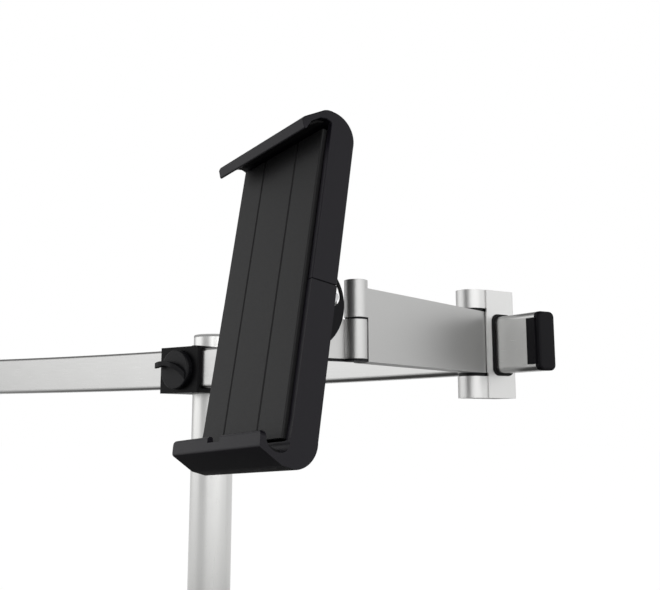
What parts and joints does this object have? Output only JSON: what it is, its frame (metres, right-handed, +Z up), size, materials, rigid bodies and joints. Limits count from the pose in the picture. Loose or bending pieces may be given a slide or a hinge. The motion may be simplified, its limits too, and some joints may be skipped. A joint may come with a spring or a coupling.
{
  "type": "monitor and tablet arm",
  "caption": "Pole-mounted curved crossbar with a sliding bracket, short swing arm and tilting, rotating, extending clamp holder for a tablet.",
  "frame": {"origin": "centre of the pole's lower end", "axes": "+Z up along the pole, -Y towards the person who reads the tablet, +X to that person's right"},
  "size_m": [0.81, 0.3675, 0.4707],
  "materials": {
    "pole_aluminium": "satin anodised",
    "bar_aluminium": "satin anodised",
    "cast_aluminium": "silver, satin",
    "cap_plastic": "silver grey, matte",
    "black_plastic": "matte",
    "holder_plastic": "matte",
    "pad_plastic": "fine matte",
    "clamp_black": "black, satin",
    "black_painted_steel": "black, satin",
    "black_steel": "blackened",
    "steel": "zinc plated",
    "nylon": "matte",
    "rubber": "matte"
  },
  "bodies": {
    "pole_body": {"pole": "pole_aluminium", "pole_top_cap": "cap_plastic", "pole_foot_plug": "black_plastic"},
    "sleeve_body": {"clamp_liner": "nylon"},
    "clamp_body": {"clamp_yoke": "clamp_black", "clamp_collar": "clamp_black", "clamp_screws": "black_steel", "crossbar": "bar_aluminium", "end_cap_right": "black_plastic", "end_cap_left": "black_plastic"},
    "pad_body": {"clamp_pressure_pad": "nylon"},
    "knob_body": {"clamp_knob": "black_plastic", "clamp_bolt": "steel"},
    "bracket_body": {"slider_bracket": "cast_aluminium", "bracket_bushes": "rubber", "bracket_pin": "steel", "bracket_washers": "nylon", "bracket_lock_screw": "black_steel"},
    "arm_body": {"arm_link": "cast_aluminium"},
    "knuckle_body": {"knuckle": "cast_aluminium", "knuckle_pin": "steel", "knuckle_washer": "nylon", "knuckle_bottom_cover": "black_plastic", "tilt_stop_stud": "steel", "tilt_pivot_bolt": "black_steel", "tilt_washers": "nylon", "tilt_nut": "black_steel"},
    "tilt_body": {"tilt_bracket": "black_painted_steel", "rotation_washers": "steel", "rotation_screw": "steel"},
    "holder_body": {"holder_lower_shell": "holder_plastic", "holder_slide_rail": "black_painted_steel", "front_pad": "pad_plastic", "holder_screws": "black_steel", "slide_brake_shoes": "nylon", "lower_hook_liner": "rubber"},
    "upper_body": {"holder_upper_shell": "holder_plastic", "upper_hook_liner": "rubber"}
  },
  "joints": [
    {"name": "clamp_height", "type": "slide", "parent": "pole_body", "child": "sleeve_body", "axis": [0, 0, 1], "range_m": [-0.26, 0.01]},
    {"name": "clamp_turn", "type": "hinge", "parent": "sleeve_body", "child": "clamp_body", "pos_m": [0, 0, 0.3655], "axis": [0, 0, 1], "continuous": true},
    {"name": "clamp_screw_travel", "type": "slide", "parent": "clamp_body", "child": "pad_body", "axis": [0, -1, 0], "range_m": [0, 0.00063]},
    {"name": "clamp_knob_turn", "type": "hinge", "parent": "pad_body", "child": "knob_body", "pos_m": [0, -0.046, 0.3645], "axis": [0, -1, 0], "range_deg": [0, 180]},
    {"name": "bracket_travel", "type": "hinge", "parent": "clamp_body", "child": "bracket_body", "pos_m": [0, -1.1892, 0.3655], "axis": [0, 0, 1], "range_deg": [-1.4, 15.5]},
    {"name": "arm_swing", "type": "hinge", "parent": "bracket_body", "child": "arm_body", "pos_m": [0.34901, -0.10677, 0.367], "axis": [0, 0, 1], "range_deg": [-60, 20]},
    {"name": "head_swivel", "type": "hinge", "parent": "arm_body", "child": "knuckle_body", "pos_m": [0.35515, -0.24263, 0.37], "axis": [0, 0, 1], "range_deg": [-60, 60]},
    {"name": "holder_tilt", "type": "hinge", "parent": "knuckle_body", "child": "tilt_body", "pos_m": [0.34447, -0.27512, 0.377], "axis": [-0.95, 0.3123, 0], "range_deg": [-6, 34]},
    {"name": "holder_rotation", "type": "hinge", "parent": "tilt_body", "child": "holder_body", "pos_m": [0.3372, -0.29723, 0.37936], "axis": [-0.3069, -0.9335, 0.1857], "range_deg": [-90, 90]},
    {"name": "holder_extension", "type": "slide", "parent": "holder_body", "child": "upper_body", "axis": [-0.0088, 0.1978, 0.9802], "range_m": [0, 0.075]}
  ],
  "couplings": [
    {"joint": "clamp_screw_travel", "follows": "clamp_knob_turn", "m_per_rad": 0.00019894}
  ]
}
